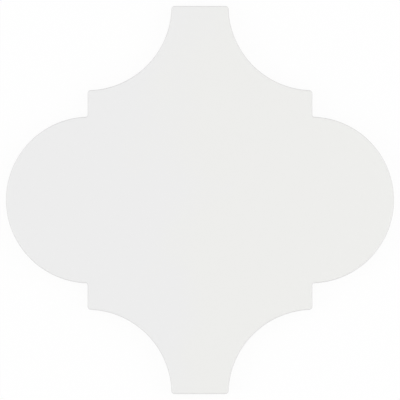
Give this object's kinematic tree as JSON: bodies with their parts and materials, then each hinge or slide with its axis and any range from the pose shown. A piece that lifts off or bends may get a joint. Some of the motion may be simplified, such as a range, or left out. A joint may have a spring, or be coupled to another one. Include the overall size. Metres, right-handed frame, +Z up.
{
  "type": "arabesque tile",
  "caption": "Flat lantern-shaped glazed tile for walls and floors: round lobes, square-ended necks and hollow flanks that nest with its neighbours, on a keyed back.",
  "frame": {"origin": "middle of the back, on the plane that the ribs rest on", "axes": "+Z up out of the glazed face, X through the two round lobes, Y through the two square-ended necks"},
  "size_m": [0.2, 0.2, 0.0085],
  "materials": {
    "white_glaze": "matte"
  },
  "bodies": {
    "root": {"tile": "white_glaze"}
  },
  "joints": []
}
